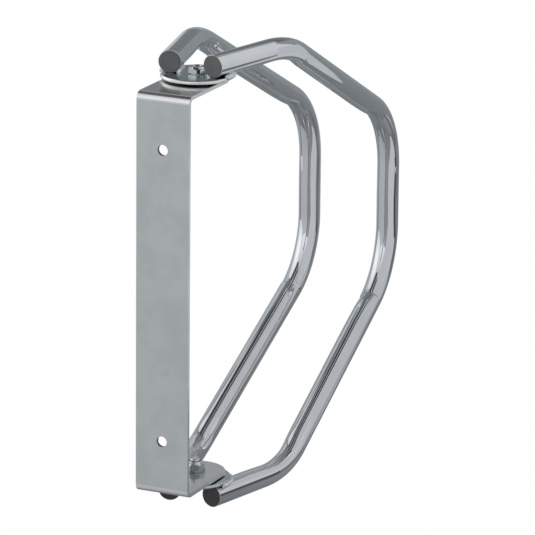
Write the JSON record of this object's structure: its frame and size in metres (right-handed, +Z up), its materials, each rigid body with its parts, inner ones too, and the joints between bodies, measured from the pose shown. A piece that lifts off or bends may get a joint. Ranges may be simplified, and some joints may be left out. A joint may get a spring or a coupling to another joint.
{
  "type": "wall-mounted bike rack",
  "caption": "Wall-mounted bike rack: a folded steel bracket carries a pair of bent tube hoops on swivel discs, and a front wheel stands between the hoops.",
  "frame": {"origin": "centre of the wall screw pattern, on the bracket's wall face", "axes": "+Z up along the bracket and the swivel axis, +Y into the wall, -Y out along the hoops, +X to the left of someone with their back to the wall"},
  "size_m": [0.0952, 0.352, 0.3592],
  "materials": {
    "bracket_zinc": "satin",
    "disc_zinc": "gloss",
    "tube_zinc": "gloss",
    "weld_zinc": "satin",
    "fastener_zinc": "gloss",
    "washer_zinc": "satin",
    "nylon": "matte",
    "plug_top": "matte",
    "plug_bottom": "matte"
  },
  "bodies": {
    "bracket": {"wall_bracket": "bracket_zinc", "top_bolt": "fastener_zinc", "bottom_bolt": "fastener_zinc", "top_lock_nut": "fastener_zinc", "bottom_lock_nut": "fastener_zinc", "top_nylon_ring": "nylon", "bottom_nylon_ring": "nylon", "top_nut_washer": "washer_zinc", "bottom_nut_washer": "washer_zinc", "top_spacer": "washer_zinc", "bottom_spacer": "washer_zinc"},
    "rack": {"top_disc": "disc_zinc", "bottom_disc": "disc_zinc", "left_hoop": "tube_zinc", "right_hoop": "tube_zinc", "left_top_plug": "plug_top", "right_top_plug": "plug_top", "left_bottom_plug": "plug_bottom", "right_bottom_plug": "plug_bottom", "left_top_welds": "weld_zinc", "right_top_welds": "weld_zinc", "left_bottom_welds": "weld_zinc", "right_bottom_welds": "weld_zinc"}
  },
  "joints": [
    {"name": "swivel", "type": "hinge", "parent": "bracket", "child": "rack", "pos_m": [0, -0.058, 0], "axis": [0, 0, 1], "range_deg": [-90, 90]}
  ]
}
